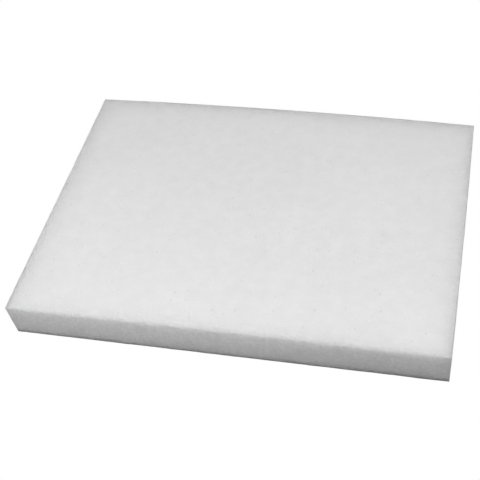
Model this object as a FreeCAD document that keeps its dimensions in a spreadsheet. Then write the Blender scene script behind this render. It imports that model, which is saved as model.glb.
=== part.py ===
"""A flat rectangular slab of white rigid foam, as florists cut, glue and pin into.

The slab is one homogeneous piece, sawn square from a larger block. It lies flat: +Z is up,
+X runs along its length, and the origin is at the centre of its underside.
"""

import FreeCAD
import Part
import Sketcher
import os

OUTPUT_FOLDER = "parts"

# Driving dimensions in millimetres: alias, value, meaning.
DRIVING_DIMENSIONS = (
    ("slab_length", 304.8, "along X, 12 in nominal"),
    ("slab_depth", 228.6, "along Y, 9 in nominal"),
    ("slab_thickness", 25.4, "along Z, 1 in nominal"),
    ("edge_radius", 0.8, "softening that sawing and handling leave on every edge"),
)


def make_sheet(document):
    """The spreadsheet that every size of the model is bound to."""
    sheet = document.addObject("Spreadsheet::Sheet", "dimensions")
    for row, (alias, value, meaning) in enumerate(DRIVING_DIMENSIONS, start=1):
        sheet.set(f"A{row}", alias)
        sheet.set(f"B{row}", str(value))
        sheet.set(f"C{row}", meaning)
        sheet.setAlias(f"B{row}", alias)
    document.recompute()
    return sheet


def origin_plane(body, role):
    """One of a body's own origin planes, found by its role."""
    return next(feature for feature in body.Origin.OriginFeatures if feature.Role == role)


def draw_centred_rectangle(sketch, sheet, width_alias, height_alias):
    """A rectangle centred on the sketch's origin, with both sides bound to the sheet."""
    half_width = sheet.get(width_alias) / 2
    half_height = sheet.get(height_alias) / 2
    corners = [
        FreeCAD.Vector(-half_width, -half_height, 0),
        FreeCAD.Vector(half_width, -half_height, 0),
        FreeCAD.Vector(half_width, half_height, 0),
        FreeCAD.Vector(-half_width, half_height, 0),
    ]
    sides = [
        sketch.addGeometry(Part.LineSegment(start, end), False)
        for start, end in zip(corners, corners[1:] + corners[:1])
    ]
    bottom, right, top, left = sides
    for side, following in zip(sides, sides[1:] + sides[:1]):
        sketch.addConstraint(Sketcher.Constraint("Coincident", side, 2, following, 1))
    for side in (bottom, top):
        sketch.addConstraint(Sketcher.Constraint("Horizontal", side))
    for side in (right, left):
        sketch.addConstraint(Sketcher.Constraint("Vertical", side))
    sketch.addConstraint(Sketcher.Constraint("Symmetric", bottom, 1, top, 1, -1, 1))
    width = Sketcher.Constraint("DistanceX", bottom, 1, bottom, 2, 2 * half_width)
    height = Sketcher.Constraint("DistanceY", right, 1, right, 2, 2 * half_height)
    for name, constraint, alias in (("width", width, width_alias), ("height", height, height_alias)):
        index = sketch.addConstraint(constraint)
        sketch.renameConstraint(index, name)
        sketch.setExpression(f"Constraints.{name}", f"{sheet.Name}.{alias}")


def make_foam_slab(document, sheet):
    """The slab: a padded rectangle with every edge slightly softened."""
    body = document.addObject("PartDesign::Body", "foam_slab")
    body.Label = "foam_slab"

    outline = body.newObject("Sketcher::SketchObject", "slab_outline")
    outline.AttachmentSupport = (origin_plane(body, "XY_Plane"), [""])
    outline.MapMode = "FlatFace"
    draw_centred_rectangle(outline, sheet, "slab_length", "slab_depth")

    blank = body.newObject("PartDesign::Pad", "sawn_blank")
    blank.Profile = outline
    blank.setExpression("Length", f"{sheet.Name}.slab_thickness")
    outline.Visibility = False
    document.recompute()

    softened = body.newObject("PartDesign::Fillet", "softened_edges")
    softened.Base = (blank, [f"Edge{number + 1}" for number in range(len(blank.Shape.Edges))])
    softened.setExpression("Radius", f"{sheet.Name}.edge_radius")
    body.Tip = softened
    return body


def check_document(document, pieces):
    """Stops if anything failed to recompute, or if a piece isn't one sound solid."""
    for item in document.Objects:
        if "Invalid" in item.State or "Error" in item.State:
            raise RuntimeError(f"{item.Label} failed to recompute: {item.State}")
    for piece in pieces:
        if piece.Shape.isNull() or not piece.Shape.isValid():
            raise RuntimeError(f"{piece.Label} has no valid shape")
        if len(piece.Shape.Solids) != 1:
            raise RuntimeError(f"{piece.Label} has {len(piece.Shape.Solids)} solids, not one")


def check_size(piece, sheet):
    """Stops if the slab isn't as large as the sheet says, or doesn't stand on the origin plane."""
    box = piece.Shape.BoundBox
    wanted = [sheet.get(alias) for alias in ("slab_length", "slab_depth", "slab_thickness")]
    found = [box.XLength, box.YLength, box.ZLength]
    tolerance = 1e-3
    if any(abs(a - b) > tolerance for a, b in zip(wanted, found)) or abs(box.ZMin) > tolerance:
        raise RuntimeError(f"{piece.Label} measures {found} from z {box.ZMin}, and not {wanted}")


def export(pieces):
    """Writes each piece's shape to its own STEP file, named after its label."""
    os.makedirs(OUTPUT_FOLDER, exist_ok=True)
    for piece in pieces:
        piece.Shape.exportStep(os.path.join(OUTPUT_FOLDER, f"{piece.Label}.step"))
        print(f"{piece.Label}: {piece.Shape.Volume / 1000:.1f} cm3")


def main():
    document = FreeCAD.newDocument("floral_foam_slab")
    sheet = make_sheet(document)
    slab = make_foam_slab(document, sheet)
    document.recompute()
    pieces = [slab]
    check_document(document, pieces)
    check_size(slab, sheet)
    export(pieces)


main()
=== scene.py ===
"""Looks of a flat slab of white fine-celled foam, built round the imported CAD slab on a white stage."""

import math

import bpy
import numpy as np
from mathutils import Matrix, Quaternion, Vector, noise


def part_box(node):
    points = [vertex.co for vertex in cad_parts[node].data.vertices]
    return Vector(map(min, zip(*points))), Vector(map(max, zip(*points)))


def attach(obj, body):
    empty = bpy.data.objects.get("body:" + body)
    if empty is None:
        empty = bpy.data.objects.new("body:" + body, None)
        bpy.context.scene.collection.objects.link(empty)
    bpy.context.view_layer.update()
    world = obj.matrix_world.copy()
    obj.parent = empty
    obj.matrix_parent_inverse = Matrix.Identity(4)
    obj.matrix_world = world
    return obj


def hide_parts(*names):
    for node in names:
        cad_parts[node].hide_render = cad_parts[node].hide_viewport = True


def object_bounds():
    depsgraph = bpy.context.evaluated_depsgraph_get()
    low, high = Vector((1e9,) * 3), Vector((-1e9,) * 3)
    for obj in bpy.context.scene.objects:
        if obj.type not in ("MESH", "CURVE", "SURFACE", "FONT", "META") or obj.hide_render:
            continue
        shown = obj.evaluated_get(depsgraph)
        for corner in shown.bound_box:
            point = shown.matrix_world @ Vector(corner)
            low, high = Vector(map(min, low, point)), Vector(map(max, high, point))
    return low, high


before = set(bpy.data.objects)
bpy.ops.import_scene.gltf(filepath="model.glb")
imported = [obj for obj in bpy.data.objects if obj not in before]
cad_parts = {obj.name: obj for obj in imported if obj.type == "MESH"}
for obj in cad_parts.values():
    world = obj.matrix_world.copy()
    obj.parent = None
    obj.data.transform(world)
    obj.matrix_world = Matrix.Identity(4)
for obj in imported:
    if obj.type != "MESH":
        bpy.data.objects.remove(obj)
cad_low, cad_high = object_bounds()

MM = 0.001

# The mesh's grid: fine at the edges, and coarser by a factor from line to line away from them.
FINE_STEP = 0.3 * MM
COARSE_STEP = 1.45 * MM
STEP_GROWTH = 1.35

# How round the edges are: softest along the top of the front, and crisp everywhere else.
FRONT_TOP_RADIUS = 3.0 * MM
SIDE_TOP_RADIUS = 0.5 * MM
BACK_TOP_RADIUS = 0.3 * MM
BOTTOM_RADIUS = 0.3 * MM
# How steeply a radius or the rim fades away from its side of the slab.
FADE_POWER = 8
# The unevenness of the radii: a share of the radius, the width of its waves and a noise seed.
UNEVENNESS = (
    (0.4, 9.0 * MM, 1),
    (0.4, 3.0 * MM, 5),
)
# How far the wear reaches from the edges, and the rim from the ends and the back.
WEAR_REACH = 5.0 * MM
RIM_REACH = 4.0 * MM

# How far the sawn faces stray from the perfect box.
BACK_BOW = 3.0 * MM
RIGHT_BOW = 0.5 * MM
TAPER = 4.0 * MM
LEFT_UNDERCUT = 3.0 * MM
RIGHT_UNDERCUT = 0.5 * MM
FRONT_HOLLOW = 1.5 * MM

# The relief of the faces: the height and the width of its waves, dents and bumps, and a noise seed.
RELIEF = (
    (0.12 * MM, 70.0 * MM, 2),
    (0.10 * MM, 14.0 * MM, 3),
    (0.07 * MM, 3.5 * MM, 4),
)
SAW_MARK_HEIGHT = 0.07 * MM
SAW_MARK_WIDTH = 3.0 * MM
SAW_MARK_STRETCH = 12
SAW_MARK_SEED = 6
# How far apart two neighbouring seeds are in the noise.
SEED_SHIFT = (17.3, 5.1, 9.7)

# The foam: its colour, its gloss and its roughness, and how much light soaks in and how far.
FOAM_COLOUR = (0.86, 0.86, 0.86)
GLOSS = 0.2
ROUGHNESS = (0.8, 1.0)
LIGHT_SHARE = 0.95
LIGHT_REACH = 17.0 * MM
RIM_LIGHT_REACH = 3.4 * MM

# The size or the spacing of each pattern in the foam, and how far the shifted patterns are moved.
CELL_SIZE = 0.9 * MM
GRAIN_SIZE = 0.35 * MM
PORE_SPACING = 7.0 * MM
CRUMB_SPACING = 8.0 * MM
TORN_SIZE = 2.2 * MM
MOTTLE_SIZE = 9.0 * MM
CLOUD_SIZE = 60.0 * MM
PATTERN_SHIFT = (0.5, 0.3, 0.1)

# The part of the noise's range that a pattern uses: less of it gives more contrast.
SOFT_NOISE = (0.25, 0.75)
SHARP_NOISE = (0.3, 0.7)
# From a cell's wall to its open inside, as shares of the cell's size.
CELL_WALL = (0.0, 0.35)
# From the inside of a pore or a crumb to its rim, as shares of their spacing.
SPOT = (0.05, 0.12)

# What each pattern multiplies the foam's colour by, where it is lowest and where it is full.
MOTTLE_TONE = (0.985, 1.015)
CLOUD_TONE = (0.99, 1.01)
# Painted highlight and shade: the cells' walls lighter and their sunken insides darker in colour.
CELL_HIGHLIGHT_AND_SHADE = (1.02, 0.98)
GRAIN_TONE = (0.985, 1.015)
# Painted shade: the pores darker in colour, as their hollows would be in shade.
PORE_SHADE = (1.0, 0.91)
# Painted highlight: the raised crumbs lighter in colour, as if catching the light.
CRUMB_HIGHLIGHT = (1.0, 1.08)
# These change the colour by a share, and only on the sides or on ragged foam.
SAW_MARK_TONE = (-0.012, 0.012)
TORN_TONE = (-0.05, 0.035)

# How high each pattern stands out where it is full, or how deep it is where negative.
GRAIN_HEIGHT = 0.12 * MM
CELL_HEIGHT = -0.4 * MM
TORN_HEIGHT = 0.8 * MM
PORE_HEIGHT = -0.4 * MM
CRUMB_HEIGHT = 0.2 * MM
# How much of the grain's and the cells' height is left away from the sides and the worn edges.
FACE_STRENGTH = 0.5

# The studio.
FLOOR_REACH = 40.0
FLOOR_GAP = 0.1 * MM
FLOOR_GREY = 0.25
WORLD_LIGHT = 0.03
SOFTBOX_SIZE = 0.4
# The name of each light, its place from the slab's centre and its power in watts.
SOFTBOXES = (
    ("left_softbox", Vector((-0.30, -0.40, 0.85)), 5.80),
    ("right_softbox", Vector((0.48, -0.12, 0.65)), 2.48),
    ("low_softbox", Vector((-0.45, -0.70, 0.35)), 1.08),
    ("back_softbox", Vector((-0.20, 0.80, 0.20)), 1.00),
)

# The camera, at the photograph's viewing angle: its angles in degrees, its distance in metres,
# its lens and sensor in millimetres, and how far from the slab's centre it aims.
CAMERA_AZIMUTH = 18.20
CAMERA_ELEVATION = 45.92
CAMERA_ROLL = -8.05
CAMERA_DISTANCE = 0.7420
CAMERA_LENS = 75.85
CAMERA_SENSOR = 36.0
AIM_OFFSET = Vector((-0.00686, -0.01864, 0.0))


def graded_positions(low, high):
    """Grid lines from low to high, close together at both ends and evenly spaced between them."""
    run = [0.0]
    step = FINE_STEP
    while step < COARSE_STEP:
        run.append(run[-1] + step)
        step *= STEP_GROWTH
    start = np.array(run)
    middle = high - low - 2 * start[-1]
    count = round(middle / COARSE_STEP)
    inner = np.linspace(low + start[-1], high - start[-1], count + 1)
    return np.concatenate([low + start[:-1], inner, (high - start[:-1])[::-1]])


def shell_grid(low, high):
    """Points and outward-facing quads of a grid over the six sides of a box."""
    lines = [graded_positions(a, b) for a, b in zip(low, high)]
    shape = tuple(len(line) for line in lines)
    on_shell = np.ones(shape, bool)
    on_shell[1:-1, 1:-1, 1:-1] = False
    ids = np.full(shape, -1)
    ids[on_shell] = np.arange(on_shell.sum())
    points = np.stack(np.meshgrid(*lines, indexing="ij"), -1)[on_shell]
    sides = (
        (ids[:, :, -1], False),
        (ids[:, :, 0], True),
        (ids[-1, :, :], False),
        (ids[0, :, :], True),
        (ids[:, -1, :], True),
        (ids[:, 0, :], False),
    )
    quads = []
    for side, turned in sides:
        corners = (side[:-1, :-1], side[1:, :-1], side[1:, 1:], side[:-1, 1:])
        faces = np.stack(corners, -1).reshape(-1, 4)
        quads.append(faces[:, ::-1] if turned else faces)
    return points, np.concatenate(quads)


def noise_at(points, size, seed):
    """Smooth noise from -1 to 1 at each point, with features about size metres wide."""
    shift = Vector([seed * step for step in SEED_SHIFT])
    return np.array([noise.noise(Vector(point) / size + shift) for point in points])


def edge_radius(points, share):
    """How round the edges near each point are, uneven from place to place."""
    rightward, backward, upward = share.T
    along_back = backward ** FADE_POWER
    along_front = (1 - backward) ** FADE_POWER * (1 - (2 * rightward - 1) ** FADE_POWER)
    top = SIDE_TOP_RADIUS + (BACK_TOP_RADIUS - SIDE_TOP_RADIUS) * along_back
    top += (FRONT_TOP_RADIUS - SIDE_TOP_RADIUS) * along_front
    radius = BOTTOM_RADIUS + (top - BOTTOM_RADIUS) * upward
    unevenness = sum(amount * noise_at(points, width, seed) for amount, width, seed in UNEVENNESS)
    return radius * (1 + unevenness)


def edge_distance(points, low, high):
    """How far each point of the box's surface is from the nearest edge."""
    to_faces = np.minimum(points - low, high - points)
    return np.sort(to_faces, axis=1)[:, 1]


def rim_nearness(points, low, high, share):
    """One at the ends and the back, and nothing far from them and along the front."""
    to_end = np.minimum(points - low, high - points)[:, 0]
    to_back = (high - points)[:, 1]
    nearness = np.exp(-np.minimum(to_end, to_back) / RIM_REACH)
    return nearness * (1 - (1 - share[:, 1]) ** FADE_POWER)


def soften_edges(points, low, high, radius):
    """The points with the box's edges rounded, each by its own radius, and their outward directions."""
    core = np.clip(points, low + radius, high - radius)
    outward = points - core
    outward /= np.linalg.norm(outward, axis=1, keepdims=True)
    return core + outward * radius, outward


def arch(share):
    """Nothing at both ends, and one half-way between them."""
    return 4 * share * (1 - share)


def saw_by_hand(points, share):
    """The points moved as uneven sawing does: bowed, hollowed, tapered and undercut."""
    rightward, backward, upward = share.T
    moved = points.copy()
    moved[:, 0] += RIGHT_BOW * rightward * arch(backward)
    moved[:, 1] += BACK_BOW * backward * arch(rightward)
    moved[:, 1] += TAPER * backward * (0.5 - rightward)
    moved[:, 1] += FRONT_HOLLOW * (1 - backward) * upward * arch(rightward)
    moved[:, 0] += LEFT_UNDERCUT * (1 - rightward) * (1 - upward)
    moved[:, 0] -= RIGHT_UNDERCUT * rightward * (1 - upward)
    return moved


def surface_relief(points, side):
    """How far each point stands out: waves, dents and bumps, and upright saw marks on the sides."""
    relief = sum(height * noise_at(points, width, seed) for height, width, seed in RELIEF)
    upright = points / (1, 1, SAW_MARK_STRETCH)
    return relief + SAW_MARK_HEIGHT * side * noise_at(upright, SAW_MARK_WIDTH, SAW_MARK_SEED)


def add_attribute(mesh, name, values):
    """Stores one number for each of the mesh's points, for its material."""
    stored = mesh.attributes.new(name, "FLOAT", "POINT")
    stored.data.foreach_set("value", values.astype(np.float32))


def make_slab(low, high):
    """The slab: a box with softened edges, gently wavy and dented faces, and cuts that wander."""
    low, high = np.array(low), np.array(high)
    points, quads = shell_grid(low, high)
    wear = np.exp(-edge_distance(points, low, high) / WEAR_REACH)
    share = (points - low) / (high - low)
    rim = rim_nearness(points, low, high, share)
    points, outward = soften_edges(points, low, high, edge_radius(points, share)[:, None])
    side = 1 - outward[:, 2] ** 2
    points = points + outward * surface_relief(points, side)[:, None]
    points = saw_by_hand(points, share)
    points[:, 2] = np.maximum(points[:, 2], low[2])

    mesh = bpy.data.meshes.new("sawn_foam_slab")
    mesh.from_pydata(points.tolist(), [], quads.tolist())
    mesh.shade_smooth()
    add_attribute(mesh, "wear", wear)
    add_attribute(mesh, "side", side)
    add_attribute(mesh, "rim", rim * (1 - side))
    slab = bpy.data.objects.new("sawn_foam_slab", mesh)
    bpy.context.scene.collection.objects.link(slab)
    return slab


def add_node(tree, kind, **settings):
    """A new node, with the given properties set on it."""
    node = tree.nodes.new(kind)
    for name, value in settings.items():
        setattr(node, name, value)
    return node


def feed(tree, socket, value):
    """Links a node's output to a socket, or sets the socket to a plain number or colour."""
    if isinstance(value, bpy.types.NodeSocket):
        tree.links.new(value, socket)
    else:
        socket.default_value = value


def attribute(tree, name):
    """The output that reads one of the mesh's stored numbers."""
    return add_node(tree, "ShaderNodeAttribute", attribute_name=name).outputs["Fac"]


def math_node(tree, operation, first, second):
    """The result of plain arithmetic on two outputs or numbers."""
    node = add_node(tree, "ShaderNodeMath", operation=operation)
    feed(tree, node.inputs[0], first)
    feed(tree, node.inputs[1], second)
    return node.outputs["Value"]


def remap(tree, value, old_range=(0.0, 1.0), new_range=(0.0, 1.0)):
    """An output, clamped to the old range, and eased onto the new one."""
    node = add_node(tree, "ShaderNodeMapRange", interpolation_type="SMOOTHSTEP")
    limits = ("From Min", "From Max", "To Min", "To Max")
    for name, number in zip(limits, old_range + new_range):
        node.inputs[name].default_value = number
    tree.links.new(value, node.inputs["Value"])
    return node.outputs["Result"]


def moved_place(tree, place, scale, offset):
    """The place, stretched and shifted."""
    node = add_node(tree, "ShaderNodeMapping")
    node.inputs["Location"].default_value = offset
    node.inputs["Scale"].default_value = scale
    tree.links.new(place, node.inputs["Vector"])
    return node.outputs["Vector"]


def voronoi(tree, place, size, feature):
    """The distance within Voronoi cells about size metres wide, as a share of that size."""
    node = add_node(tree, "ShaderNodeTexVoronoi", feature=feature)
    node.inputs["Scale"].default_value = 1 / size
    tree.links.new(place, node.inputs["Vector"])
    return node.outputs["Distance"]


def fractal_noise(tree, place, size, detail):
    """Noise from 0 to 1 with its largest features about size metres wide."""
    node = add_node(tree, "ShaderNodeTexNoise")
    node.inputs["Scale"].default_value = 1 / size
    node.inputs["Detail"].default_value = detail
    tree.links.new(place, node.inputs["Vector"])
    return node.outputs["Fac"]


def weighted(tree, weight, change):
    """One plus a weighted change, as a factor: it leaves a tone alone where the weight is nothing."""
    return math_node(tree, "ADD", 1.0, math_node(tree, "MULTIPLY", weight, change))


def add_bump(tree, pattern, height, strength, below=None):
    """A bump, height metres high where its pattern is full, on top of another bump if one is given."""
    bump = add_node(tree, "ShaderNodeBump")
    bump.inputs["Distance"].default_value = height
    feed(tree, bump.inputs["Strength"], strength)
    tree.links.new(pattern, bump.inputs["Height"])
    if below is not None:
        tree.links.new(below, bump.inputs["Normal"])
    return bump.outputs["Normal"]


def make_foam_material():
    """White fine-celled foam: cut-open cells, pores, crumbs and faint mottling, with painted shade in
    the cells' pits and the pores and painted highlights on the cell walls and the crumbs. Light soaks
    into it.
    """
    material = bpy.data.materials.new("white_foam")
    material.use_nodes = True
    tree = material.node_tree
    shader = tree.nodes["Principled BSDF"]
    shader.inputs["Subsurface Weight"].default_value = LIGHT_SHARE
    shader.inputs["Subsurface Radius"].default_value = (1.0, 1.0, 1.0)
    shader.inputs["Specular IOR Level"].default_value = GLOSS

    place = add_node(tree, "ShaderNodeTexCoord").outputs["Object"]
    shifted = moved_place(tree, place, (1, 1, 1), PATTERN_SHIFT)
    upright = moved_place(tree, place, (1, 1, 1 / SAW_MARK_STRETCH), (0, 0, 0))
    wear = attribute(tree, "wear")
    side = attribute(tree, "side")
    ragged = math_node(tree, "MAXIMUM", side, wear)

    cells = remap(tree, voronoi(tree, place, CELL_SIZE, "DISTANCE_TO_EDGE"), CELL_WALL)
    pores = remap(tree, voronoi(tree, place, PORE_SPACING, "F1"), SPOT, (1.0, 0.0))
    crumbs = remap(tree, voronoi(tree, shifted, CRUMB_SPACING, "F1"), SPOT, (1.0, 0.0))
    mottle = fractal_noise(tree, place, MOTTLE_SIZE, detail=4.0)
    clouds = fractal_noise(tree, shifted, CLOUD_SIZE, detail=1.0)
    grain = fractal_noise(tree, place, GRAIN_SIZE, detail=2.0)
    marks = fractal_noise(tree, upright, SAW_MARK_WIDTH, detail=2.0)
    torn = fractal_noise(tree, place, TORN_SIZE, detail=2.0)

    tone = remap(tree, mottle, SOFT_NOISE, MOTTLE_TONE)
    for factor in (
        remap(tree, clouds, SOFT_NOISE, CLOUD_TONE),
        # painted highlight on the cell walls and painted shade in the cells' pits
        remap(tree, cells, new_range=CELL_HIGHLIGHT_AND_SHADE),
        remap(tree, grain, SHARP_NOISE, GRAIN_TONE),
        # painted shade in the pores
        remap(tree, pores, new_range=PORE_SHADE),
        # painted highlight on the crumbs
        remap(tree, crumbs, new_range=CRUMB_HIGHLIGHT),
        weighted(tree, side, remap(tree, marks, SHARP_NOISE, SAW_MARK_TONE)),
        weighted(tree, ragged, remap(tree, torn, SHARP_NOISE, TORN_TONE)),
    ):
        tone = math_node(tree, "MULTIPLY", tone, factor)
    colour = add_node(tree, "ShaderNodeVectorMath", operation="SCALE")
    colour.inputs["Vector"].default_value = FOAM_COLOUR
    tree.links.new(tone, colour.inputs["Scale"])
    tree.links.new(colour.outputs["Vector"], shader.inputs["Base Color"])

    tree.links.new(remap(tree, grain, SHARP_NOISE, ROUGHNESS), shader.inputs["Roughness"])
    reach = remap(tree, attribute(tree, "rim"), new_range=(LIGHT_REACH, RIM_LIGHT_REACH))
    tree.links.new(reach, shader.inputs["Subsurface Scale"])

    added = math_node(tree, "MULTIPLY", 1 - FACE_STRENGTH, ragged)
    strength = math_node(tree, "ADD", FACE_STRENGTH, added)
    normal = add_bump(tree, grain, GRAIN_HEIGHT, strength)
    normal = add_bump(tree, cells, CELL_HEIGHT, strength, normal)
    normal = add_bump(tree, torn, TORN_HEIGHT, ragged, normal)
    normal = add_bump(tree, pores, PORE_HEIGHT, 1.0, normal)
    normal = add_bump(tree, crumbs, CRUMB_HEIGHT, 1.0, normal)
    tree.links.new(normal, shader.inputs["Normal"])
    return material


def add_floor(low):
    """A floor that is white to look at, and lights the slab from below as a pale grey one would."""
    mesh = bpy.data.meshes.new("floor")
    corners = ((-1, -1), (1, -1), (1, 1), (-1, 1))
    height = low.z - FLOOR_GAP
    points = [(x * FLOOR_REACH, y * FLOOR_REACH, height) for x, y in corners]
    mesh.from_pydata(points, [], [(0, 1, 2, 3)])
    floor = bpy.data.objects.new("floor", mesh)
    bpy.context.scene.collection.objects.link(floor)

    material = bpy.data.materials.new("floor")
    material.use_nodes = True
    tree = material.node_tree
    tree.nodes.clear()
    output = add_node(tree, "ShaderNodeOutputMaterial")
    mix = add_node(tree, "ShaderNodeMixShader")
    seen = add_node(tree, "ShaderNodeEmission")
    lit = add_node(tree, "ShaderNodeBsdfDiffuse")
    lit.inputs["Color"].default_value = (FLOOR_GREY, FLOOR_GREY, FLOOR_GREY, 1)
    path = add_node(tree, "ShaderNodeLightPath")
    tree.links.new(path.outputs["Is Camera Ray"], mix.inputs["Fac"])
    tree.links.new(lit.outputs["BSDF"], mix.inputs[1])
    tree.links.new(seen.outputs["Emission"], mix.inputs[2])
    tree.links.new(mix.outputs["Shader"], output.inputs["Surface"])
    mesh.materials.append(material)


def add_world():
    """A world that is white to look at and dim as a light."""
    world = bpy.data.worlds.new("studio")
    bpy.context.scene.world = world
    world.use_nodes = True
    tree = world.node_tree
    background = tree.nodes["Background"]
    background.inputs["Color"].default_value = (1, 1, 1, 1)
    strength = add_node(tree, "ShaderNodeMapRange")
    strength.inputs["To Min"].default_value = WORLD_LIGHT
    strength.inputs["To Max"].default_value = 1.0
    path = add_node(tree, "ShaderNodeLightPath")
    tree.links.new(path.outputs["Is Camera Ray"], strength.inputs["Value"])
    tree.links.new(strength.outputs["Result"], background.inputs["Strength"])


def add_softbox(name, centre, place, power):
    """A large round light that points at the slab."""
    light = bpy.data.lights.new(name, "AREA")
    light.shape = "DISK"
    light.size = SOFTBOX_SIZE
    light.energy = power
    softbox = bpy.data.objects.new(name, light)
    softbox.location = centre + place
    softbox.rotation_euler = (-place).to_track_quat("-Z", "Y").to_euler()
    bpy.context.scene.collection.objects.link(softbox)


def add_camera(centre):
    """The camera at the photograph's viewing angle."""
    azimuth = math.radians(CAMERA_AZIMUTH)
    elevation = math.radians(CAMERA_ELEVATION)
    back = Vector((
        math.sin(azimuth) * math.cos(elevation),
        -math.cos(azimuth) * math.cos(elevation),
        math.sin(elevation),
    ))
    data = bpy.data.cameras.new("camera")
    data.sensor_width = CAMERA_SENSOR
    data.lens = CAMERA_LENS
    camera = bpy.data.objects.new("camera", data)
    camera.location = centre + AIM_OFFSET + back * CAMERA_DISTANCE
    camera.rotation_mode = "QUATERNION"
    level = (-back).to_track_quat("-Z", "Y")
    camera.rotation_quaternion = level @ Quaternion((0, 0, 1), math.radians(CAMERA_ROLL))
    bpy.context.scene.collection.objects.link(camera)
    bpy.context.scene.camera = camera


slab = make_slab(*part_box("foam_slab"))
slab.data.materials.append(make_foam_material())
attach(slab, "root")
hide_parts("foam_slab")

cad_centre = (cad_low + cad_high) / 2
add_floor(cad_low)
add_world()
for name, place, power in SOFTBOXES:
    add_softbox(name, cad_centre, place, power)
add_camera(cad_centre)
bpy.context.scene.view_settings.view_transform = "Standard"
